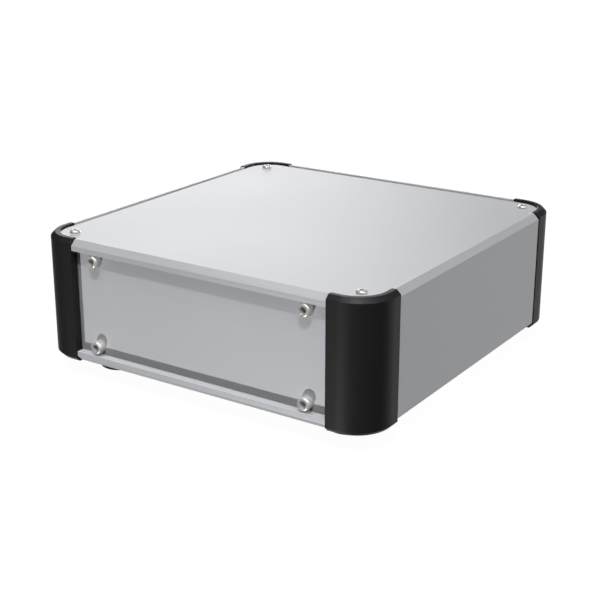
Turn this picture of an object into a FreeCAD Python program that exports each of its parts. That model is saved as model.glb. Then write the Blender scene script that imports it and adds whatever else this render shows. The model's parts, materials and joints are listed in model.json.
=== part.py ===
import FreeCAD, Part
import math
import os

from FreeCAD import Vector

# Aluminium instrument case, millimetres. X to the right, Y to the rear, Z up.
# The floor is Z = 0 and the case is centred on X and Y, with its front at -Y.

# Frame of the case
width = 200.0  # outer face to outer face of the side panels
depth = 200.0  # front lip to rear lip
height = 65.5  # under face to top face of the frame
floor_gap = 9.5  # from the floor to the frame's under face
chamfer = 3.0  # along every outer edge of the frame, top and bottom
rim_flat = 1.3  # flat top of the rim between chamfer and cover
cover_sink = 1.0  # from the rim's top down to the cover's face

# Covers
cover_thickness = 1.5
cover_play = 0.2  # between the cover's edge and the rim
cover_screw_inset = 14.0  # screw centre from both outer faces

# Side panel section
side_wall = 2.5
box_wall = 1.4  # round the hollow channels of side panels and rails
box_drop = 15.5  # lowest face of the upper channels, from the frame's top
side_box_reach = 13.0  # inner face of the side panel's channels
card_pitch = 11.0
card_slot = 2.0
card_rib = 1.2
card_rib_depth = 2.6
card_rows = 3

# Cross rail section
lip_height = 5.6
panel_recess = 4.2
screw_channel_depth = 6.9
screw_channel_play = 0.1  # more than the screw's shank
rail_chamber = 2.8

# Front and rear panels
panel_thickness = 2.0
panel_play = 0.2
panel_screw_inset = 36.5
panel_screw_drop = 9.75  # screw centre from the frame's top and under face

# Corner guards
guard_leg = 24.0  # from the outer face to the guard's end
guard_radius = 19.4
guard_proud = 0.5  # past the side and front faces
ring_proud = 0.4  # past the frame's top and under face
guard_chamfer = 2.2
guard_wall = 2.6
guard_end_wall = 3.2
guard_web = 2.0
panel_groove = 1.8
boss_radius = 4.0
boss_rib = 1.8
tenon_length = 12.0
tenon_play = 0.15
butt_gap = 0.1  # between a guard's end and the extrusion that meets it

# M3 button head screws of the covers
cover_screw_radius = 1.5
cover_screw_length = 10.0
cover_head_radius = 2.75
cover_head_height = 1.65
cover_head_top_radius = 1.75
cover_socket = 2.0
cover_socket_depth = 1.0
pilot_play = 0.05
cover_hole_play = 0.2

# M4 socket head cap screws of the panels
panel_screw_radius = 2.0
panel_screw_length = 8.0
panel_head_radius = 3.5
panel_head_height = 4.0
panel_socket = 3.0
panel_socket_depth = 2.0
panel_hole_play = 0.25

# Rubber feet, stuck to the bottom cover
foot_radius = 11.0
foot_inset = 28.5  # foot centre from both outer faces

# Places worked out from the sizes above
half_width = width / 2
half_depth = depth / 2
under_z = floor_gap
top_z = floor_gap + height
middle_z = floor_gap + height / 2
rim_inner = chamfer + rim_flat
ledge_drop = cover_sink + cover_thickness
panel_seat = panel_recess + panel_thickness
channel_end = panel_seat + screw_channel_depth
chamber_start = channel_end + box_wall
chamber_end = chamber_start + rail_chamber
rail_reach = chamber_end + box_wall
arc_centre = guard_radius - guard_proud
cell_end = guard_leg - guard_end_wall
screw_channel_width = 2 * panel_screw_radius + screw_channel_play
panel_screw_rise = height / 2 - panel_screw_drop
foot_height = floor_gap + cover_sink

along_x = Vector(1, 0, 0)
along_y = Vector(0, 1, 0)
along_z = Vector(0, 0, 1)


def prism(points, travel):
    """Solid of a flat polygon carried along the travel vector."""
    face = Part.Face(Part.makePolygon(points + points[:1]))
    return face.extrude(travel)


def block(low, high):
    """Box between two corners."""
    size = high - low
    return Part.makeBox(size.x, size.y, size.z, low)


def to_left(shape):
    return shape.mirror(Vector(), along_x)


def to_rear(shape):
    return shape.mirror(Vector(), along_y)


def to_bottom(shape):
    return shape.mirror(Vector(0, 0, middle_z), along_z)


def hexagon_cut(across_flats, hole_depth, mouth, direction):
    """Hexagonal hole from its mouth along the direction."""
    corner = across_flats / math.sqrt(3)
    turn = FreeCAD.Rotation(along_z, direction)
    points = []
    for step in range(6):
        angle = math.radians(60 * step)
        points.append(mouth + turn.multVec(Vector(corner * math.cos(angle), corner * math.sin(angle), 0)))
    return prism(points, direction * hole_depth)


def turned(outline):
    """Solid turned about the Z axis from its half section."""
    face = Part.Face(Part.makePolygon(outline + outline[:1]))
    return face.revolve(Vector(), along_z, 360)


def side_panel():
    """Right side panel: its section in X and Z, carried along Y."""
    start_y = -half_depth + guard_leg + butt_gap
    travel = along_y * (depth - 2 * (guard_leg + butt_gap))

    def at(inward, down):
        return Vector(half_width - inward, start_y, top_z - down)

    def rectangle(inner, outer, upper, lower):
        return prism([at(inner, upper), at(outer, upper), at(outer, lower), at(inner, lower)], travel)

    upper_half = [
        (0, chamfer),
        (chamfer, 0),
        (rim_inner, 0),
        (rim_inner, ledge_drop),
        (side_box_reach, ledge_drop),
        (side_box_reach, box_drop),
        (side_wall, box_drop),
    ]
    lower_half = [(inward, height - down) for inward, down in reversed(upper_half)]
    panel = prism([at(*point) for point in upper_half + lower_half], travel)
    hollow = rectangle(side_wall, side_box_reach - box_wall, ledge_drop + box_wall, box_drop - box_wall)
    panel = panel.cut([hollow, to_bottom(hollow)])
    ribs = []
    for row in range(card_rows):
        slot_middle = height / 2 + (row - (card_rows - 1) / 2) * card_pitch
        for edge in (slot_middle - card_slot / 2 - card_rib, slot_middle + card_slot / 2):
            ribs.append(rectangle(0, side_wall + card_rib_depth, edge, edge + card_rib))
    return panel.fuse(ribs).removeSplitter()


def rail():
    """Front top rail: its section in Y and Z, carried along X."""
    start_x = -half_width + guard_leg + butt_gap
    travel = along_x * (width - 2 * (guard_leg + butt_gap))

    def at(inward, down):
        return Vector(start_x, -half_depth + inward, top_z - down)

    section = [
        (0, chamfer),
        (chamfer, 0),
        (rim_inner, 0),
        (rim_inner, ledge_drop),
        (rail_reach, ledge_drop),
        (rail_reach, box_drop),
        (panel_seat, box_drop),
        (panel_seat, lip_height),
        (0, lip_height),
    ]
    bar = prism([at(*point) for point in section], travel)
    channel_top = panel_screw_drop - screw_channel_width / 2
    channel_foot = panel_screw_drop + screw_channel_width / 2
    channel = [
        at(panel_seat, channel_top),
        at(channel_end, channel_top),
        at(channel_end, channel_foot),
        at(panel_seat, channel_foot),
    ]
    chamber = [
        at(chamber_start, ledge_drop + box_wall),
        at(chamber_end, ledge_drop + box_wall),
        at(chamber_end, box_drop - box_wall),
        at(chamber_start, box_drop - box_wall),
    ]
    return bar.cut([prism(channel, travel), prism(chamber, travel)])


def cover_plan(inset, radius):
    """Rounded rectangle inside the rim, as a face at Z = 0."""
    reach_x = half_width - inset
    reach_y = half_depth - inset
    plate = Part.makePlane(2 * reach_x, 2 * reach_y, Vector(-reach_x, -reach_y, 0))
    solid = plate.extrude(along_z)
    upright = [edge for edge in solid.Edges if abs(edge.tangentAt(edge.FirstParameter).z) > 0.5]
    rounded = solid.makeFillet(radius, upright)
    return min(rounded.Faces, key=lambda face: face.CenterOfMass.z)


def corner_points(inset):
    reach_x = half_width - inset
    reach_y = half_depth - inset
    return [(x, y) for x in (-reach_x, reach_x) for y in (-reach_y, reach_y)]


def top_cover():
    """Plate sunk in the rim, with a hole for a screw in each corner."""
    inset = rim_inner + cover_play
    plan = cover_plan(inset, arc_centre - inset)
    plan.translate(along_z * (top_z - ledge_drop))
    plate = plan.extrude(along_z * cover_thickness)
    holes = []
    for x, y in corner_points(cover_screw_inset):
        start = Vector(x, y, top_z - ledge_drop)
        holes.append(Part.makeCylinder(cover_screw_radius + cover_hole_play, cover_thickness, start))
    return plate.cut(holes)


def front_panel():
    """Plate between the lips, with its ends in the guards' grooves."""
    reach_x = half_width - guard_leg + panel_groove - panel_play
    reach_z = height / 2 - lip_height - panel_play
    low = Vector(-reach_x, -half_depth + panel_recess, middle_z - reach_z)
    high = Vector(reach_x, -half_depth + panel_seat, middle_z + reach_z)
    holes = []
    for x, z in panel_screw_places():
        start = Vector(x, -half_depth + panel_recess, z)
        hole = Part.makeCylinder(panel_screw_radius + panel_hole_play, panel_thickness, start, along_y)
        holes.append(hole)
    return block(low, high).cut(holes)


def panel_screw_places():
    reach = half_width - panel_screw_inset
    return [(x, middle_z + z) for x in (-reach, reach) for z in (-panel_screw_rise, panel_screw_rise)]


def guard_outline(outset, leg, inner_points):
    """Plan of a guard or of its hollow: outer line with its arc, then the inner points."""
    def at(inward_x, inward_y):
        return Vector(half_width - inward_x, -half_depth + inward_y, 0)

    radius = arc_centre + outset
    middle = arc_centre - radius * math.cos(math.radians(45))
    arc = Part.Arc(at(arc_centre, -outset), at(middle, middle), at(-outset, arc_centre))
    edges = [Part.LineSegment(at(leg, -outset), at(arc_centre, -outset)).toShape(), arc.toShape()]
    chain = [at(-outset, arc_centre), at(-outset, leg)] + [at(*point) for point in inner_points]
    chain.append(at(leg, -outset))
    for first, second in zip(chain, chain[1:]):
        edges.append(Part.LineSegment(first, second).toShape())
    return Part.Face(Part.Wire(edges))


def guard_shell():
    """Outer body of the guard with its top and bottom edges chamfered."""
    back = [
        (side_box_reach, guard_leg),
        (side_box_reach, cell_end),
        (cell_end, rail_reach),
        (guard_leg, rail_reach),
    ]
    plan = guard_outline(guard_proud, guard_leg, back)
    plan.translate(along_z * (under_z - ring_proud))
    body = plan.extrude(along_z * (height + 2 * ring_proud))
    outer_edges = [edge for edge in body.Edges if is_outer_rim(edge)]
    return body.makeChamfer(guard_chamfer, outer_edges)


def is_outer_rim(edge):
    """True for the level edges along the guard's outer line."""
    low = edge.BoundBox
    level = low.ZLength < guard_chamfer / 2
    outside_x = low.XMax > half_width + guard_proud / 2 and low.YLength > butt_gap
    outside_y = low.YMin < -half_depth - guard_proud / 2 and low.XLength > butt_gap
    return level and (outside_x or outside_y) and low.DiagonalLength < guard_radius * 2


def tenons():
    """Tongues that plug into the rail's chamber and the side panel's channel, upper pair."""
    upper = top_z - ledge_drop - box_wall - tenon_play
    lower = top_z - box_drop + box_wall + tenon_play
    root = guard_leg - guard_end_wall / 2
    tip = guard_leg + tenon_length
    rail_low = Vector(half_width - tip, -half_depth + chamber_start + tenon_play, lower)
    rail_high = Vector(half_width - root, -half_depth + chamber_end - tenon_play, upper)
    side_low = Vector(half_width - side_box_reach + box_wall + tenon_play, -half_depth + root, lower)
    side_high = Vector(half_width - side_wall - tenon_play, -half_depth + tip, upper)
    return [block(rail_low, rail_high), block(side_low, side_high)]


def corner_guard():
    """Front right guard, open at its back: shell, cover ring, webs, screw boss, ribs, groove, tenons."""
    body = guard_shell()
    cell = guard_outline(guard_proud - guard_wall, cell_end, [(cell_end, cell_end)])
    cell.translate(along_z * (under_z + ledge_drop + guard_web))
    cell = cell.extrude(along_z * (height - 2 * (ledge_drop + guard_web)))
    body = body.cut(cell)

    boss_x = half_width - cover_screw_inset
    boss_y = -half_depth + cover_screw_inset
    boss_low = under_z + ledge_drop
    boss_length = height - 2 * ledge_drop
    boss = Part.makeCylinder(boss_radius, boss_length, Vector(boss_x, boss_y, boss_low))
    rib_reach = cover_screw_inset + guard_proud - guard_wall
    rib_x = block(
        Vector(boss_x, boss_y - boss_rib / 2, boss_low),
        Vector(boss_x + rib_reach, boss_y + boss_rib / 2, boss_low + boss_length),
    )
    rib_y = block(
        Vector(boss_x - boss_rib / 2, boss_y - rib_reach, boss_low),
        Vector(boss_x + boss_rib / 2, boss_y, boss_low + boss_length),
    )
    body = body.fuse([boss, rib_x, rib_y] + tenons() + [to_bottom(tenon) for tenon in tenons()])

    pocket = cover_plan(rim_inner, arc_centre - rim_inner)
    pocket.translate(along_z * (top_z - ledge_drop))
    pocket = pocket.extrude(along_z * (ledge_drop + 2 * ring_proud))
    pilot_start = Vector(boss_x, boss_y, boss_low)
    pilot = Part.makeCylinder(cover_screw_radius + pilot_play, boss_length, pilot_start)
    groove = block(
        Vector(half_width - guard_leg, -half_depth + panel_recess - panel_play, under_z + lip_height),
        Vector(half_width - guard_leg + panel_groove, -half_depth + panel_seat, top_z - lip_height),
    )
    cuts = [pocket, to_bottom(pocket), pilot, groove]
    return body.cut(cuts).removeSplitter()


def cover_screw():
    """Button head screw standing on the cover, its axis on Z and its seat at the origin."""
    top = Vector(0, 0, cover_head_height)
    outline = [
        top,
        Vector(cover_head_top_radius, 0, cover_head_height),
        Vector(cover_head_radius, 0, 0),
        Vector(cover_screw_radius, 0, 0),
        Vector(cover_screw_radius, 0, -cover_screw_length),
        Vector(0, 0, -cover_screw_length),
    ]
    body = turned(outline)
    return body.cut(hexagon_cut(cover_socket, cover_socket_depth, top, -along_z))


def panel_screw():
    """Socket head cap screw with its seat at the origin and its head towards -Y."""
    head = Part.makeCylinder(panel_head_radius, panel_head_height, Vector(), -along_y)
    shank = Part.makeCylinder(panel_screw_radius, panel_screw_length, Vector(), along_y)
    mouth = Vector(0, -panel_head_height, 0)
    socket = hexagon_cut(panel_socket, panel_socket_depth, mouth, along_y)
    return head.fuse(shank).removeSplitter().cut(socket)


def foot():
    """Round rubber foot standing on the floor at the origin."""
    return Part.makeCylinder(foot_radius, foot_height)


def placed(shape, x, y, z):
    copy = shape.copy()
    copy.translate(Vector(x, y, z))
    return copy


def four_corners(name, front_right):
    """The front right piece and its three mirror images, named by their places."""
    front_left = to_left(front_right)
    return {
        name + "_front_right": front_right,
        name + "_front_left": front_left,
        name + "_rear_right": to_rear(front_right),
        name + "_rear_left": to_rear(front_left),
    }


def screws():
    """Every screw of the case."""
    pieces = {}
    corner_x = half_width - cover_screw_inset
    corner_y = -half_depth + cover_screw_inset
    top_screw = placed(cover_screw(), corner_x, corner_y, top_z - cover_sink)
    pieces.update(four_corners("top_screw", top_screw))
    pieces.update(four_corners("bottom_screw", to_bottom(top_screw)))
    upper = placed(
        panel_screw(),
        half_width - panel_screw_inset,
        -half_depth + panel_recess,
        middle_z + panel_screw_rise,
    )
    pieces.update(four_corners("upper_panel_screw", upper))
    pieces.update(four_corners("lower_panel_screw", to_bottom(upper)))
    return pieces


def all_pieces():
    right_panel = side_panel()
    front_rail = rail()
    front_plate = front_panel()
    upper_plate = top_cover()
    front_foot = placed(foot(), half_width - foot_inset, -half_depth + foot_inset, 0)
    pieces = {
        "side_panel_right": right_panel,
        "side_panel_left": to_left(right_panel),
        "rail_front_top": front_rail,
        "rail_front_bottom": to_bottom(front_rail),
        "rail_rear_top": to_rear(front_rail),
        "rail_rear_bottom": to_bottom(to_rear(front_rail)),
        "top_cover": upper_plate,
        "bottom_cover": to_bottom(upper_plate),
        "front_panel": front_plate,
        "rear_panel": to_rear(front_plate),
    }
    pieces.update(four_corners("corner_guard", corner_guard()))
    pieces.update(screws())
    pieces.update(four_corners("foot", front_foot))
    return pieces


os.makedirs("parts", exist_ok=True)
for node, shape in all_pieces().items():
    shape.exportStep(os.path.join("parts", node + ".step"))
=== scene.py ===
import json
import math

import bmesh
import bpy
from mathutils import Matrix, Vector

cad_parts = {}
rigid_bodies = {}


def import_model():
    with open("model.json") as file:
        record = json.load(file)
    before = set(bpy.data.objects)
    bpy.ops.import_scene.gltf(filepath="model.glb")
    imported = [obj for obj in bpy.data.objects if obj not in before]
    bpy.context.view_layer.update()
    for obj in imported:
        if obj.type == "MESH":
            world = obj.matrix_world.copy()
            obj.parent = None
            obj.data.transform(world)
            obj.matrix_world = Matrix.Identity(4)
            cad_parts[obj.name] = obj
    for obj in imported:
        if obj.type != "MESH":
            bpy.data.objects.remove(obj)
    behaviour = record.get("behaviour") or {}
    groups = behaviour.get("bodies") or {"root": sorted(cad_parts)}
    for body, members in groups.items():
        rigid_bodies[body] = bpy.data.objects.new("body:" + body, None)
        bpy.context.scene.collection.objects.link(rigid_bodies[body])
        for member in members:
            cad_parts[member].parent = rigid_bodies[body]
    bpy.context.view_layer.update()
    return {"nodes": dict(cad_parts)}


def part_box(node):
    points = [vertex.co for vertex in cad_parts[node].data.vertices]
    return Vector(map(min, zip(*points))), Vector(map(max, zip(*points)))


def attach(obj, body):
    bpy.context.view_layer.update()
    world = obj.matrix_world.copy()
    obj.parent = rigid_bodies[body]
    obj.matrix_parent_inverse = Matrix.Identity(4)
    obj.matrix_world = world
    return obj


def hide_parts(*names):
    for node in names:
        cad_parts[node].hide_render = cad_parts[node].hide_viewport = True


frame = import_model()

places = ("front_right", "front_left", "rear_right", "rear_left")


# Shader helpers

def emptyTree(owner):
    owner.use_nodes = True
    owner.node_tree.nodes.clear()
    return owner.node_tree


def addNode(tree, kind, **values):
    node = tree.nodes.new(kind)
    for name, value in values.items():
        setattr(node, name, value)
    return node


def setInputs(node, values):
    for title, value in values.items():
        node.inputs[title].default_value = value
    return node


def feed(tree, socket, value):
    # a socket takes either another node's output or a plain value
    if isinstance(value, bpy.types.NodeSocket):
        tree.links.new(value, socket)
    else:
        socket.default_value = value


def mixValues(tree, factor, low, high):
    mix = addNode(tree, "ShaderNodeMix", data_type="FLOAT")
    for title, value in (("Factor", factor), ("A", low), ("B", high)):
        feed(tree, mix.inputs[title], value)
    return mix.outputs["Result"]


def mixColours(tree, factor, low, high):
    mix = addNode(tree, "ShaderNodeMix", data_type="RGBA")
    first, second = [socket for socket in mix.inputs if socket.type == "RGBA"]
    feed(tree, mix.inputs["Factor"], factor)
    feed(tree, first, low)
    feed(tree, second, high)
    return [socket for socket in mix.outputs if socket.type == "RGBA"][0]


def mixShaders(tree, factor, first, second):
    mix = addNode(tree, "ShaderNodeMixShader")
    feed(tree, mix.inputs["Fac"], factor)
    tree.links.new(first, mix.inputs[1])
    tree.links.new(second, mix.inputs[2])
    return mix.outputs["Shader"]


def mathNode(tree, kind, operation, *values):
    # kind is Math for numbers and VectorMath for vectors
    node = addNode(tree, "ShaderNode" + kind, operation=operation)
    for socket, value in zip(node.inputs, values):
        feed(tree, socket, value)
    return node


def mapRange(tree, value, low, high, start=0.0, end=1.0, curve="LINEAR"):
    # runs from start to end while the value runs from low to high
    node = addNode(tree, "ShaderNodeMapRange", interpolation_type=curve)
    setInputs(node, {"From Min": low, "From Max": high, "To Min": start, "To Max": end})
    tree.links.new(value, node.inputs["Value"])
    return node.outputs["Result"]


def addNoise(tree, place, scale, detail=2.0, roughness=0.5):
    noise = addNode(tree, "ShaderNodeTexNoise")
    setInputs(noise, {"Detail": detail, "Roughness": roughness})
    tree.links.new(place, noise.inputs["Vector"])
    feed(tree, noise.inputs["Scale"], scale)
    return noise.outputs["Fac"]


def newGroup(name, inputs, outputs):
    group = bpy.data.node_groups.new(name, "ShaderNodeTree")
    for title, kind, start in inputs:
        socket = group.interface.new_socket(title, in_out="INPUT", socket_type=kind)
        socket.default_value = start
    for title, kind in outputs:
        group.interface.new_socket(title, in_out="OUTPUT", socket_type=kind)
    return group, group.nodes.new("NodeGroupInput"), group.nodes.new("NodeGroupOutput")


def placeGroup(tree, group, values):
    return setInputs(addNode(tree, "ShaderNodeGroup", node_tree=group), values)


# Effects shared by the materials

finishInputs = [
    ("Tone Low", "NodeSocketColor", (0.5, 0.5, 0.5, 1.0)),
    ("Tone High", "NodeSocketColor", (0.6, 0.6, 0.6, 1.0)),
    ("Rough Low", "NodeSocketFloat", 0.3),
    ("Rough High", "NodeSocketFloat", 0.5),
]
finishOutputs = [
    ("Color", "NodeSocketColor"),
    ("Roughness", "NodeSocketFloat"),
    ("Height", "NodeSocketFloat"),
]


def giveFinish(group, source, result, pattern, height):
    # tone and roughness follow the pattern between their low and high values
    colour = mixColours(group, pattern, source.outputs["Tone Low"], source.outputs["Tone High"])
    rough = mixValues(group, pattern, source.outputs["Rough Low"], source.outputs["Rough High"])
    group.links.new(colour, result.inputs["Color"])
    group.links.new(rough, result.inputs["Roughness"])
    group.links.new(height, result.inputs["Height"])
    return group


drawnPattern = {"lineDetail": 5.0, "lineRoughness": 0.7, "cloudShare": 0.45, "from": 0.3, "to": 0.7}


def drawnLinesGroup():
    # fine lines along one axis, as a die or a brush leaves them, under broad faint clouds of tone
    group, source, result = newGroup(
        "drawnLines",
        [("Stretch", "NodeSocketVector", (1.0, 1.0, 1.0)), ("Cloud Scale", "NodeSocketFloat", 12.0)]
        + finishInputs, finishOutputs)
    place = addNode(group, "ShaderNodeTexCoord").outputs["Object"]
    stretched = mathNode(group, "VectorMath", "MULTIPLY", place, source.outputs["Stretch"])
    lines = addNoise(
        group, stretched.outputs["Vector"], 1.0, drawnPattern["lineDetail"], drawnPattern["lineRoughness"])
    clouds = addNoise(group, place, source.outputs["Cloud Scale"])
    both = mixValues(group, drawnPattern["cloudShare"], lines, clouds)
    pattern = mapRange(group, both, drawnPattern["from"], drawnPattern["to"])
    return giveFinish(group, source, result, pattern, lines)


grainPattern = {"gritDetail": 3.0, "gritShare": 0.5}


def mouldGrainGroup():
    # pebbled grain of a spark-eroded mould, finer or coarser by its scale
    group, source, result = newGroup(
        "mouldGrain", [("Scale", "NodeSocketFloat", 2500.0)] + finishInputs, finishOutputs)
    place = addNode(group, "ShaderNodeTexCoord").outputs["Object"]
    pebbles = addNode(group, "ShaderNodeTexVoronoi", feature="SMOOTH_F1")
    group.links.new(place, pebbles.inputs["Vector"])
    group.links.new(source.outputs["Scale"], pebbles.inputs["Scale"])
    grit = addNoise(group, place, source.outputs["Scale"], grainPattern["gritDetail"])
    height = mixValues(group, grainPattern["gritShare"], pebbles.outputs["Distance"], grit)
    return giveFinish(group, source, result, grit, height)


# flatAgree and edgeAgree say how well the rounded normal agrees with the flat one away from an edge
# and on it; the noise between breakFrom and breakTo breaks the mask up
edgePattern = {"samples": 4, "flatAgree": 0.99, "edgeAgree": 0.8, "breakFrom": 0.35, "breakTo": 0.6}


def edgeWearAndGlintGroup():
    # mask that is 1 on an edge, for wear and for a painted highlight where the edge catches light, and fades
    # within its width, broken up by noise
    group, source, result = newGroup(
        "rubbedEdge",
        [("Width", "NodeSocketFloat", 0.0004), ("Amount", "NodeSocketFloat", 0.5),
         ("Scale", "NodeSocketFloat", 300.0)],
        [("Mask", "NodeSocketFloat")])
    rounded = addNode(group, "ShaderNodeBevel", samples=edgePattern["samples"])
    group.links.new(source.outputs["Width"], rounded.inputs["Radius"])
    flat = addNode(group, "ShaderNodeNewGeometry")
    agree = mathNode(group, "VectorMath", "DOT_PRODUCT", rounded.outputs["Normal"], flat.outputs["Normal"])
    bent = mapRange(group, agree.outputs["Value"], edgePattern["flatAgree"], edgePattern["edgeAgree"])
    place = addNode(group, "ShaderNodeTexCoord").outputs["Object"]
    noise = addNoise(group, place, source.outputs["Scale"])
    breaks = mapRange(group, noise, edgePattern["breakFrom"], edgePattern["breakTo"])
    broken = mathNode(group, "Math", "MULTIPLY", bent, breaks)
    mask = mathNode(group, "Math", "MULTIPLY", broken.outputs["Value"], source.outputs["Amount"])
    group.links.new(mask.outputs["Value"], result.inputs["Mask"])
    return group


turnedPattern = {"ringDetail": 2.0, "stainScale": 700.0, "stainShare": 0.5, "from": 0.35, "to": 0.65}


def turnedRingsGroup():
    # fine rings about the piece's own Z axis, as a lathe leaves them, under faint stains
    group, source, result = newGroup(
        "turnedRings", [("Ring Scale", "NodeSocketFloat", 9000.0)] + finishInputs, finishOutputs)
    place = addNode(group, "ShaderNodeTexCoord").outputs["Object"]
    split = addNode(group, "ShaderNodeSeparateXYZ")
    group.links.new(place, split.inputs[0])
    plan = addNode(group, "ShaderNodeCombineXYZ")
    group.links.new(split.outputs["X"], plan.inputs["X"])
    group.links.new(split.outputs["Y"], plan.inputs["Y"])
    radius = mathNode(group, "VectorMath", "LENGTH", plan.outputs[0])
    rings = addNode(group, "ShaderNodeTexNoise", noise_dimensions="1D")
    rings.inputs["Detail"].default_value = turnedPattern["ringDetail"]
    group.links.new(radius.outputs["Value"], rings.inputs["W"])
    group.links.new(source.outputs["Ring Scale"], rings.inputs["Scale"])
    stain = addNoise(group, place, turnedPattern["stainScale"])
    both = mixValues(group, turnedPattern["stainShare"], rings.outputs["Fac"], stain)
    pattern = mapRange(group, both, turnedPattern["from"], turnedPattern["to"])
    return giveFinish(group, source, result, pattern, rings.outputs["Fac"])


drawnLines = drawnLinesGroup()
mouldGrain = mouldGrainGroup()
rubbedEdge = edgeWearAndGlintGroup()
turnedRings = turnedRingsGroup()


# Materials

def tinted(level, look):
    return tuple(level * part for part in look["tint"]) + (1.0,)


def surfaceMaterial(name, group, scales, look):
    material = bpy.data.materials.new(name)
    tree = emptyTree(material)
    surface = addNode(tree, "ShaderNodeBsdfPrincipled")
    setInputs(surface, {"Metallic": look["metallic"], "Specular IOR Level": look["specular"]})
    values = dict(scales)
    values["Tone Low"], values["Tone High"] = [tinted(level, look) for level in look["tones"]]
    values["Rough Low"], values["Rough High"] = look["rough"]
    effect = placeGroup(tree, group, values)
    edge = placeGroup(tree, rubbedEdge, {"Width": look["edgeWidth"], "Amount": look["edgeAmount"]})
    mask = edge.outputs["Mask"]
    # the edge mask lightens the tone: partly wear, partly a painted highlight of edges catching light
    colour = mixColours(tree, mask, effect.outputs["Color"], tinted(look["edgeWearGlintTone"], look))
    rough = mixValues(tree, mask, effect.outputs["Roughness"], look["edgeRough"])
    bump = addNode(tree, "ShaderNodeBump")
    setInputs(bump, {"Strength": look["bumpStrength"], "Distance": look["bumpDepth"]})
    tree.links.new(effect.outputs["Height"], bump.inputs["Height"])
    tree.links.new(colour, surface.inputs["Base Color"])
    tree.links.new(rough, surface.inputs["Roughness"])
    tree.links.new(bump.outputs["Normal"], surface.inputs["Normal"])
    output = addNode(tree, "ShaderNodeOutputMaterial")
    tree.links.new(surface.outputs["BSDF"], output.inputs["Surface"])
    return material


anodised = {
    "tint": (0.975, 0.989, 1.024), "tones": (0.62, 0.66),
    "metallic": 0.35, "specular": 0.5, "rough": (0.42, 0.50),
    "bumpStrength": 0.2, "bumpDepth": 0.00002,
    "lineCount": 2600.0, "lineLength": 9.0, "cloudScale": 12.0,
    "edgeWidth": 0.0004, "edgeAmount": 0.5, "edgeWearGlintTone": 0.78, "edgeRough": 0.34,
}
mattPanel = dict(anodised, metallic=0.2, rough=(0.54, 0.62))
satinPlastic = {
    "tint": (1.0, 1.0, 1.0), "tones": (0.015, 0.020),
    "metallic": 0.0, "specular": 0.22, "rough": (0.38, 0.46),
    "bumpStrength": 0.3, "bumpDepth": 0.00003, "grain": 2200.0,
    "edgeWidth": 0.0005, "edgeAmount": 0.3, "edgeWearGlintTone": 0.03, "edgeRough": 0.3,
}
mattRubber = {
    "tint": (1.0, 1.0, 1.0), "tones": (0.008, 0.013),
    "metallic": 0.0, "specular": 0.3, "rough": (0.65, 0.8),
    "bumpStrength": 0.4, "bumpDepth": 0.00004, "grain": 1500.0,
    "edgeWidth": 0.0006, "edgeAmount": 0.3, "edgeWearGlintTone": 0.02, "edgeRough": 0.6,
}
brightSteel = {
    "tint": (1.0, 0.995, 0.975), "tones": (0.66, 0.76),
    "metallic": 0.35, "specular": 0.5, "rough": (0.20, 0.28),
    "bumpStrength": 0.15, "bumpDepth": 0.00001, "ringScale": 9000.0,
    "edgeWidth": 0.0001, "edgeAmount": 0.6, "edgeWearGlintTone": 0.9, "edgeRough": 0.2,
}
polishedSteel = dict(brightSteel, metallic=0.5, rough=(0.18, 0.28), tones=(0.70, 0.80))
# its darker tone is painted shade for the socket recesses and the knurled sides
shadedDullSteelLook = dict(brightSteel, rough=(0.26, 0.36), tones=(0.50, 0.60), edgeWearGlintTone=0.75)


def anodisedAluminium(name, look, along):
    # along is the axis that the drawn or brushed lines follow: 0 for X, 1 for Y
    stretch = [look["lineCount"]] * 3
    stretch[along] = look["lineLength"]
    return surfaceMaterial(name, drawnLines, {"Stretch": stretch, "Cloud Scale": look["cloudScale"]}, look)


def mouldedMaterial(name, look):
    return surfaceMaterial(name, mouldGrain, {"Scale": look["grain"]}, look)


def turnedSteel(name, look):
    return surfaceMaterial(name, turnedRings, {"Ring Scale": look["ringScale"]}, look)


extrusionAlongX = anodisedAluminium("extrusionAlongX", anodised, 0)
extrusionAlongY = anodisedAluminium("extrusionAlongY", anodised, 1)
coverAluminium = anodisedAluminium("coverAluminium", anodised, 1)
panelAluminium = anodisedAluminium("panelAluminium", mattPanel, 0)
guardPlastic = mouldedMaterial("guardPlastic", satinPlastic)
footRubber = mouldedMaterial("footRubber", mattRubber)
panelScrewSteel = turnedSteel("panelScrewSteel", brightSteel)
coverScrewSteel = turnedSteel("coverScrewSteel", polishedSteel)
dullSteel = turnedSteel("dullSteel", shadedDullSteelLook)
print("stage: materials made")


# Pieces that follow a solid of the frame, with their edges rounded

def join(name, mesh, at, node):
    # a finished mesh becomes a piece of the case, in place of the frame's solid
    piece = bpy.data.objects.new(name, mesh)
    bpy.context.scene.collection.objects.link(piece)
    piece.matrix_world = at
    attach(piece, "root")
    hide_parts(node)
    return piece


metalEdge = {"weld": 0.000002, "flat": 0.4, "sharp": 30, "width": 0.00015, "steps": 2, "smooth": 35}
plasticEdge = dict(metalEdge, width=0.00025)


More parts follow.
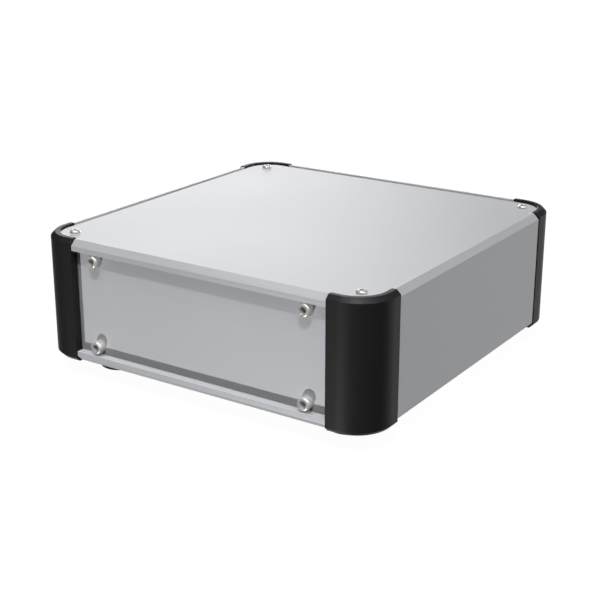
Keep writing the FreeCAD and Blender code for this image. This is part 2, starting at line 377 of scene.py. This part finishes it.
def softened(node, name, material, edge):
    # copy of a frame solid: its flat faces are joined, then its edges are rounded
    mesh = bpy.data.meshes.new(name)
    work = bmesh.new()
    work.from_mesh(frame["nodes"][node].data)
    bmesh.ops.remove_doubles(work, verts=work.verts, dist=edge["weld"])
    bmesh.ops.dissolve_limit(
        work, angle_limit=math.radians(edge["flat"]), verts=work.verts, edges=work.edges)
    sharp = [
        line for line in work.edges
        if len(line.link_faces) == 2 and line.calc_face_angle(0) > math.radians(edge["sharp"])
    ]
    bmesh.ops.bevel(
        work, geom=sharp, offset=edge["width"], offset_type="OFFSET", segments=edge["steps"],
        profile=0.5, affect="EDGES", clamp_overlap=True)
    work.to_mesh(mesh)
    work.free()
    for face in mesh.polygons:
        face.use_smooth = True
    mesh.set_sharp_from_angle(angle=math.radians(edge["smooth"]))
    mesh.materials.append(material)
    piece = join(name, mesh, Matrix(), node)
    # broad faces keep their flat shading beside the rounded edges
    flatten = piece.modifiers.new("flatFaces", "WEIGHTED_NORMAL")
    flatten.mode = "FACE_AREA"
    flatten.weight = 100
    flatten.keep_sharp = True
    return piece


# extrusions, covers and guards aren't mirrored in the other pieces: the covers' sheen stays even
# up to their rims, and the black rings stay deep black beside the covers
for node in ("rail_front_top", "rail_front_bottom", "rail_rear_top", "rail_rear_bottom"):
    bar = softened(node, node + "_bar", extrusionAlongX, metalEdge)
    bar.visible_glossy = False
    bar.visible_diffuse = False  # its lit ledge would lighten the shadow on the panel beside it
for node in ("side_panel_right", "side_panel_left"):
    profile = softened(node, node + "_profile", extrusionAlongY, metalEdge)
    profile.visible_glossy = False
for node in ("top_cover", "bottom_cover"):
    plate = softened(node, node + "_plate", coverAluminium, metalEdge)
    plate.visible_glossy = False
for node in ("front_panel", "rear_panel"):
    softened(node, node + "_plate", panelAluminium, metalEdge)
for place in places:
    node = "corner_guard_" + place
    moulding = softened(node, "guard_moulding_" + place, guardPlastic, plasticEdge)
    moulding.visible_glossy = False
print("stage: extrusions, plates and guards made")


# Turned pieces, built from rings about their own Z axis

seamWeld = 0.0000005


def roundRing(radius, height):
    return lambda angle: (radius, height)


def hexRing(flats, height):
    # across flats; the corners lie at whole sixths of a turn
    return lambda angle: (flats / 2 / math.cos(angle % (math.pi / 3) - math.pi / 6), height)


def knurlRing(radius, depth, teeth, height):
    return lambda angle: (radius - depth * (0.5 - 0.5 * math.cos(teeth * angle)), height)


def threadRing(radius, depth, pitch, height):
    # the helix shows as a groove whose place on the ring follows the height
    return lambda angle: (
        radius - depth * abs(2 * ((height / pitch - angle / math.tau) % 1) - 1), height)


def arcRings(radius, height, across, up, start, steps):
    # quarter round in the section, from the start angle on, about a centre at this radius and height
    rings = []
    for step in range(steps + 1):
        turn = math.radians(start + 90 * step / steps)
        rings.append(roundRing(radius + across * math.cos(turn), height + up * math.sin(turn)))
    return rings


def turnedMesh(name, rings, look):
    mesh = bpy.data.meshes.new(name)
    work = bmesh.new()
    steps = look["steps"]
    loops = []
    for ring in rings:
        loop = []
        for step in range(steps):
            angle = math.tau * step / steps
            radius, height = ring(angle)
            loop.append(work.verts.new((radius * math.cos(angle), radius * math.sin(angle), height)))
        loops.append(loop)
    for first, second in zip(loops, loops[1:]):
        for step in range(steps):
            after = (step + 1) % steps
            work.faces.new((first[step], first[after], second[after], second[step]))
    bmesh.ops.remove_doubles(work, verts=work.verts, dist=seamWeld)
    bmesh.ops.recalc_face_normals(work, faces=work.faces)
    work.to_mesh(mesh)
    work.free()
    for face in mesh.polygons:
        face.use_smooth = True
    mesh.set_sharp_from_angle(angle=math.radians(look["smooth"]))
    return mesh


# the point is pointCut thread depths thinner than the shank, and the drill leaves a hole that is
# drillAcross of the socket's width at the walls' end and goes drillDepth of that width deeper
screwForm = {"threadSteps": 4, "pointCut": 1.4, "drillAcross": 0.86, "drillDepth": 0.22, "smooth": 32}
panelScrew = dict(
    screwForm, headHeight=0.0040, headChamfer=0.00018, rimRound=0.0010, rimGap=0.0001, rimSteps=7,
    knurlDepth=0.00008, knurlTeeth=32, socket=0.0030, socketDepth=0.0020, socketMouth=0.00045,
    shankRadius=0.0020, pitch=0.0007, threadDepth=0.0003, steps=96, turnStep=17)
coverScrew = dict(
    screwForm, headHeight=0.00165, rimHeight=0.00025, domeSteps=7, topRadius=0.00135,
    socket=0.0020, socketDepth=0.0010, socketMouth=0.00008,
    shankRadius=0.0015, pitch=0.0005, threadDepth=0.00025, steps=48, turnStep=23)


def shankRings(look, length):
    # from the start of the thread up to the head's seat
    count = round(length / look["pitch"] * look["threadSteps"])
    point = look["shankRadius"] - look["threadDepth"] * look["pointCut"]
    rings = [roundRing(0.0, -length), roundRing(point, -length)]
    for step in range(1, count):
        height = -length + length * step / count
        rings.append(threadRing(look["shankRadius"], look["threadDepth"], look["pitch"], height))
    rings.append(roundRing(look["shankRadius"], 0.0))
    return rings


def mouthRadius(look):
    return look["socket"] / math.sqrt(3) + look["socketMouth"]


def socketRings(look, top):
    # chamfered mouth, six walls and the cone that the drill leaves
    socket = look["socket"]
    bottom = top - look["socketDepth"]
    return [
        roundRing(mouthRadius(look), top),
        hexRing(socket, top - look["socketMouth"]),
        hexRing(socket, bottom),
        hexRing(socket * look["drillAcross"], bottom - look["socketMouth"]),
        roundRing(0.0, bottom - socket * look["drillDepth"]),
    ]


def panelScrewMesh(headRadius, length):
    # cap head: chamfered seat, knurled side and rounded rim
    look = panelScrew
    top = look["headHeight"]
    rim = look["rimRound"]
    rings = shankRings(look, length - top)
    rings.append(roundRing(headRadius - look["headChamfer"] / 2, 0.0))
    for height in (look["headChamfer"] / 2, top - rim - look["rimGap"]):
        rings.append(knurlRing(headRadius, look["knurlDepth"], look["knurlTeeth"], height))
    rings += arcRings(headRadius - look["knurlDepth"] - rim, top - rim, rim, rim, 0, look["rimSteps"])
    return turnedMesh("panelScrew", rings + socketRings(look, top), look)


def coverScrewMesh(headRadius, length):
    # button head: low rim and dome
    look = coverScrew
    top = look["headHeight"]
    across = headRadius - look["topRadius"]
    up = top - look["rimHeight"]
    rings = shankRings(look, length - top)
    rings.append(roundRing(headRadius, 0.0))
    rings += arcRings(look["topRadius"], look["rimHeight"], across, up, 0, look["domeSteps"])
    return turnedMesh("coverScrew", rings + socketRings(look, top), look)


def finishScrew(mesh, look, steel):
    # the socket and the knurl below the rounded rim get a rougher steel whose darker tone is painted shade
    # in the recess and on the side
    mesh.materials.append(steel)
    mesh.materials.append(dullSteel)
    knurlTop = look["headHeight"] - look["rimRound"] if "rimRound" in look else 0.0
    for face in mesh.polygons:
        x, y, z = face.center
        if z > 0.0 and (z < knurlTop or math.hypot(x, y) < mouthRadius(look)):
            face.material_index = 1
    return mesh


# how a screw that was built upright is laid to point its head each way
screwLay = {
    "+Z": Matrix(), "-Z": Matrix.Rotation(math.pi, 4, "X"),
    "-Y": Matrix.Rotation(math.pi / 2, 4, "X"), "+Y": Matrix.Rotation(-math.pi / 2, 4, "X"),
}


def placeScrews(headings, meshOf, look, steel):
    # one shared mesh; each copy stands on its seat, turned a little further than the last as real ones are
    mesh = None
    for index, (node, heading) in enumerate(headings):
        low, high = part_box(node)
        axis = "XYZ".index(heading[1])
        if mesh is None:
            mesh = finishScrew(meshOf((high[0] - low[0]) / 2, high[axis] - low[axis]), look, steel)
        seat = (Vector(low) + Vector(high)) / 2
        seat[axis] = high[axis] - look["headHeight"] if heading[0] == "+" else low[axis] + look["headHeight"]
        turn = Matrix.Rotation(math.radians(look["turnStep"] * index), 4, "Z")
        at = Matrix.Translation(seat) @ screwLay[heading] @ turn
        join(node + "_threaded", mesh, at, node)


panelScrewHeadings = [
    (level + "_panel_screw_" + place, "-Y" if place.startswith("front") else "+Y")
    for level in ("upper", "lower") for place in places
]
coverScrewHeadings = [
    (side + "_screw_" + place, heading)
    for side, heading in (("top", "+Z"), ("bottom", "-Z")) for place in places
]
placeScrews(panelScrewHeadings, panelScrewMesh, panelScrew, panelScrewSteel)
placeScrews(coverScrewHeadings, coverScrewMesh, coverScrew, coverScrewSteel)
print("stage: screws made")


rubberFoot = {
    "padHeight": 0.0008, "padInset": 0.0006, "lowerRound": 0.0004, "upperRound": 0.0003, "roundSteps": 4,
    "dishRadius": 0.0065, "dishDepth": 0.0004, "dishSlope": 0.0008, "steps": 96, "smooth": 40,
}


def footMesh(radius, height):
    # dished sole, rounded lower and upper rim, and the pad that it is stuck on with
    look = rubberFoot
    top = height - look["padHeight"]
    rings = [
        roundRing(0.0, look["dishDepth"]),
        roundRing(look["dishRadius"] - look["dishSlope"], look["dishDepth"]),
        roundRing(look["dishRadius"], 0.0),
    ]
    low, high = look["lowerRound"], look["upperRound"]
    rings += arcRings(radius - low, low, low, low, -90, look["roundSteps"])
    rings += arcRings(radius - high, top - high, high, high, 0, look["roundSteps"])
    rings += [
        roundRing(radius - look["padInset"], top),
        roundRing(radius - look["padInset"], height),
        roundRing(0.0, height),
    ]
    return turnedMesh("rubberFoot", rings, look)


footShape = None
for place in places:
    low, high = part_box("foot_" + place)
    if footShape is None:
        footShape = footMesh((high[0] - low[0]) / 2, high[2] - low[2])
        footShape.materials.append(footRubber)
    at = Matrix.Translation(((low[0] + high[0]) / 2, (low[1] + high[1]) / 2, low[2]))
    join("rubber_foot_" + place, footShape, at, "foot_" + place)
print("stage: feet made")


# Studio

photoCamera = {
    "at": (0.35656, -0.54291, 0.25767), "azimuth": 33.645, "elevation": 19.374,
    "lens": 76.1, "sensor": 36.0, "nearest": 0.01,
}


def facing(direction):
    return Vector(direction).to_track_quat("-Z", "Y")


def makeCamera():
    look = photoCamera
    camera = bpy.data.objects.new("camera", bpy.data.cameras.new("camera"))
    bpy.context.scene.collection.objects.link(camera)
    turn = math.radians(look["azimuth"])
    tilt = math.radians(look["elevation"])
    camera.location = look["at"]
    camera.rotation_mode = "QUATERNION"
    camera.rotation_quaternion = facing(
        (-math.sin(turn) * math.cos(tilt), math.cos(turn) * math.cos(tilt), -math.sin(tilt)))
    camera.data.lens = look["lens"]
    camera.data.sensor_width = look["sensor"]
    camera.data.clip_start = look["nearest"]
    bpy.context.scene.camera = camera


# towards is where the light comes from, and angle is how wide and so how soft it is
sunLamps = {
    "keySun": {"towards": (0.54, -1.0, 2.0), "strength": 1.04, "angle": 2.0},
    "lowSun": {"towards": (-0.43, -1.0, -1.04), "strength": 1.72, "angle": 2.0},
    "backSun": {"towards": (-0.63, 0.77, 0.22), "strength": 0.40, "angle": 24.0},
    "overheadSun": {"towards": (0.0, -0.3, 1.0), "strength": 1.66, "angle": 50.0},
    "sideSun": {"towards": (0.75, -0.1, 0.7), "strength": 0.84, "angle": 40.0},
    "rearSun": {"towards": (-0.55, 1.0, -0.15), "strength": 1.1, "angle": 12.0},
    "screwCard": {
        "towards": (0.75, -0.15, 0.6), "strength": 1.0, "angle": 30.0,
        "onlyFor": ("_panel_screw_", "_threaded"),
    },
    "ledgeCard": {
        "towards": (0.0, -0.12, 1.0), "strength": 0.75, "angle": 20.0,
        "onlyFor": ("rail_", "_bottom_bar"),
    },
}


def makeLamps():
    for name, lamp in sunLamps.items():
        data = bpy.data.lights.new(name, "SUN")
        data.energy = lamp["strength"]
        data.angle = math.radians(lamp["angle"])
        sun = bpy.data.objects.new(name, data)
        bpy.context.scene.collection.objects.link(sun)
        sun.rotation_mode = "QUATERNION"
        sun.rotation_quaternion = facing(-Vector(lamp["towards"]))
        if "onlyFor" in lamp:
            # a small card beside these pieces lights just them, and nothing else stands before it
            lit = bpy.data.collections.new(name + "Pieces")
            for piece in bpy.context.scene.collection.objects:
                if all(part in piece.name for part in lamp["onlyFor"]):
                    lit.objects.link(piece)
            sun.light_linking.receiver_collection = lit
            sun.light_linking.blocker_collection = lit


# backdrop is what the camera sees, fill what lights matt surfaces and gloss what shiny ones mirror
studioWorld = {
    "backdropLevel": 1.0,
    "fillLevel": 0.01, "fillAbove": 0.1, "fillHorizon": 0.2,
    "glossLevel": 0.73, "glossDark": 0.03, "glossFrom": 0.38, "glossTo": 0.62,
    "glossSky": 0.2, "glossHorizon": 0.12,
    "tableAt": (-0.68, 0.38, -0.63), "tableFrom": 0.86, "tableTo": 0.96, "tableLevel": 0.8,
}


def skyFade(tree, height, width, above):
    # 1 below the horizon, fading to the level above it
    return mapRange(tree, height, -width, width, 1.0, above, "SMOOTHSTEP")


def addBackground(tree, level, colour):
    background = addNode(tree, "ShaderNodeBackground")
    background.inputs["Strength"].default_value = level
    feed(tree, background.inputs["Color"], colour)
    return background.outputs["Background"]


def makeWorld():
    look = studioWorld
    world = bpy.data.worlds.new("studio")
    bpy.context.scene.world = world
    tree = emptyTree(world)
    direction = addNode(tree, "ShaderNodeTexCoord").outputs["Generated"]
    split = addNode(tree, "ShaderNodeSeparateXYZ")
    tree.links.new(direction, split.inputs[0])
    # in reflections the studio is dark before the case, and behind it white below and dim above
    behind = mapRange(
        tree, split.outputs["Y"], look["glossFrom"], look["glossTo"], look["glossDark"], 1.0, "SMOOTHSTEP")
    below = skyFade(tree, split.outputs["Z"], look["glossHorizon"], look["glossSky"])
    room = mathNode(tree, "Math", "MULTIPLY", behind, below)
    # low at the left rear, a lit stretch of the white table shows in them too
    nearness = mathNode(tree, "VectorMath", "DOT_PRODUCT", direction, Vector(look["tableAt"]).normalized())
    table = mapRange(
        tree, nearness.outputs["Value"], look["tableFrom"], look["tableTo"], 0.0, look["tableLevel"],
        "SMOOTHSTEP")
    mirrored = mathNode(tree, "Math", "ADD", room.outputs["Value"], table)
    # the faint soft fill comes mostly from below, as off the white table
    soft = skyFade(tree, split.outputs["Z"], look["fillHorizon"], look["fillAbove"])
    fill = addBackground(tree, look["fillLevel"], soft)
    gloss = addBackground(tree, look["glossLevel"], mirrored.outputs["Value"])
    backdrop = addBackground(tree, look["backdropLevel"], (1.0, 1.0, 1.0, 1.0))
    path = addNode(tree, "ShaderNodeLightPath")
    unseen = mixShaders(tree, path.outputs["Is Glossy Ray"], fill, gloss)
    shown = mixShaders(tree, path.outputs["Is Camera Ray"], unseen, backdrop)
    output = addNode(tree, "ShaderNodeOutputWorld")
    tree.links.new(shown, output.inputs["Surface"])


# glowShare is how much of the floor's white is its own light, so shadows on it stay faint
whiteFloor = {"radius": 6.0, "sides": 96, "tone": 0.86, "glow": 1.045, "glowShare": 0.92}


def makeFloor():
    look = whiteFloor
    mesh = bpy.data.meshes.new("floor")
    work = bmesh.new()
    bmesh.ops.create_circle(work, cap_ends=True, radius=look["radius"], segments=look["sides"])
    work.to_mesh(mesh)
    work.free()
    floor = bpy.data.objects.new("floor", mesh)
    bpy.context.scene.collection.objects.link(floor)
    material = bpy.data.materials.new("paleFloor")
    tree = emptyTree(material)
    matt = addNode(tree, "ShaderNodeBsdfDiffuse")
    matt.inputs["Color"].default_value = (look["tone"],) * 3 + (1.0,)
    glow = addNode(tree, "ShaderNodeEmission")
    glow.inputs["Strength"].default_value = look["glow"]
    white = mixShaders(tree, look["glowShare"], matt.outputs["BSDF"], glow.outputs["Emission"])
    # seen from under it, the floor is clear, so the case's underside shows
    clear = addNode(tree, "ShaderNodeBsdfTransparent")
    side = addNode(tree, "ShaderNodeNewGeometry")
    surface = mixShaders(tree, side.outputs["Backfacing"], white, clear.outputs["BSDF"])
    output = addNode(tree, "ShaderNodeOutputMaterial")
    tree.links.new(surface, output.inputs["Surface"])
    mesh.materials.append(material)
    floor.visible_shadow = False
    floor.visible_diffuse = False
    floor.visible_glossy = False


makeCamera()
makeLamps()
makeWorld()
makeFloor()
bpy.context.scene.view_settings.view_transform = "Standard"
print("stage: studio made")
